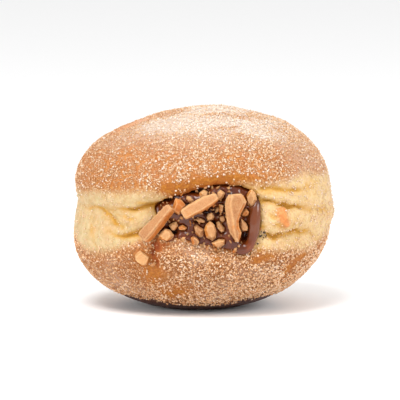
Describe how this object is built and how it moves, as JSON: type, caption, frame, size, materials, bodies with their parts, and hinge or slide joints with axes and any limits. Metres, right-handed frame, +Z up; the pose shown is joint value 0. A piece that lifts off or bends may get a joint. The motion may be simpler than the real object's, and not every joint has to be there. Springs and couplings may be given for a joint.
{
  "type": "doughnut filled with chocolate cream and chopped nuts",
  "caption": "Plump round fried doughnut with a pale waist, slit at the front and filled with chocolate cream, topped with chopped nuts and dusted with sugar.",
  "frame": {"origin": "middle of the overall box, on the surface that the doughnut rests on", "axes": "+Z up out of the flat foot, +X to the right seen from the slit, and the slit faces -Y"},
  "size_m": [0.0882, 0.088, 0.068],
  "materials": {
    "crust": "fried golden-brown dough with a pale yellow waist, dusted with white sugar, matte",
    "cream": "smooth glossy milk-chocolate cream",
    "nut": "roasted chopped almond, satin, pale golden to orange-brown"
  },
  "bodies": {
    "root": {"bun": "crust", "cream": "cream", "sliver_left": "nut", "sliver_middle": "nut", "sliver_right": "nut"}
  },
  "joints": []
}
